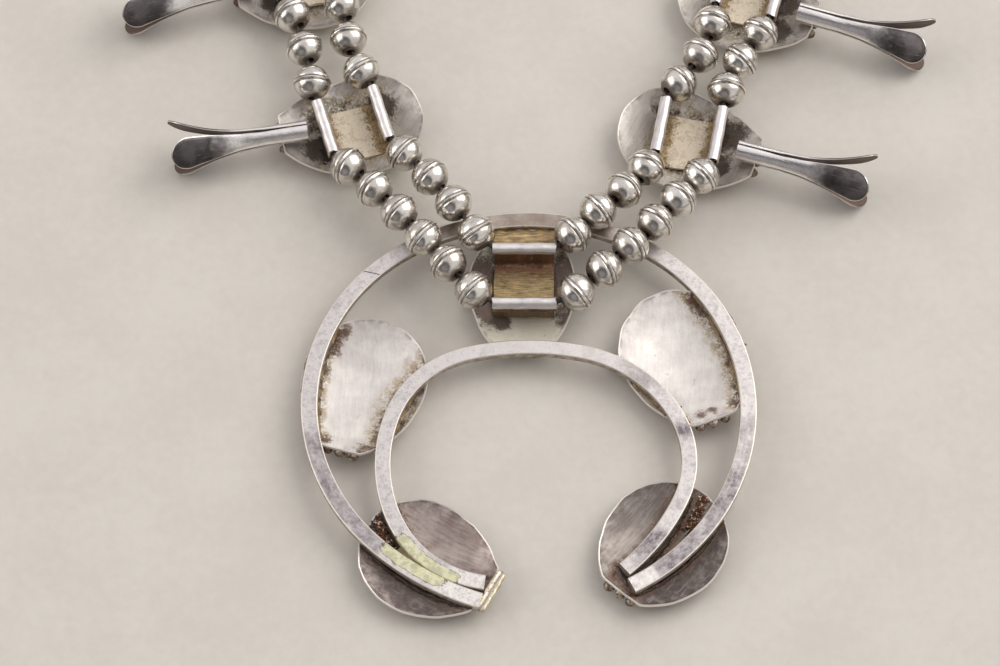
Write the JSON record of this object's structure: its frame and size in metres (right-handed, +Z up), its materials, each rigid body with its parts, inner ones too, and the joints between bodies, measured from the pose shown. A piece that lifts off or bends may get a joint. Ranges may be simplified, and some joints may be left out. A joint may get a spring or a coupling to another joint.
{
  "type": "squash blossom necklace",
  "caption": "Silver necklace of two bead strands that carry blossom ornaments and a crescent pendant, laid face down in a closed loop.",
  "frame": {"origin": "middle of the box that the necklace fills, on the surface that it lies on", "axes": "+Y from the crescent pendant to the clasp, +Z up from the surface through the backs of the ornaments"},
  "size_m": [0.1675, 0.3491, 0.0126],
  "materials": {
    "naja_silver": "worn satin silver with brown tarnish in the hollows and along the joints",
    "blossom_silver": "worn silver, polished on the tubes and petals, with ochre tarnish inside the shells",
    "bead_silver": "hand-polished silver with fine scratches and darkened seams",
    "thread": "waxed cotton",
    "clasp_silver": "worn satin silver"
  },
  "bodies": {
    "root": {"naja": "naja_silver", "blossom_left_1": "blossom_silver", "blossom_left_2": "blossom_silver", "blossom_left_3": "blossom_silver", "blossom_left_4": "blossom_silver", "blossom_left_5": "blossom_silver", "blossom_right_1": "blossom_silver", "blossom_right_2": "blossom_silver", "blossom_right_3": "blossom_silver", "blossom_right_4": "blossom_silver", "blossom_right_5": "blossom_silver", "inner_beads_left": "bead_silver", "inner_beads_right": "bead_silver", "outer_beads_left": "bead_silver", "outer_beads_right": "bead_silver", "inner_thread": "thread", "outer_thread": "thread", "clasp": "clasp_silver"}
  },
  "joints": []
}
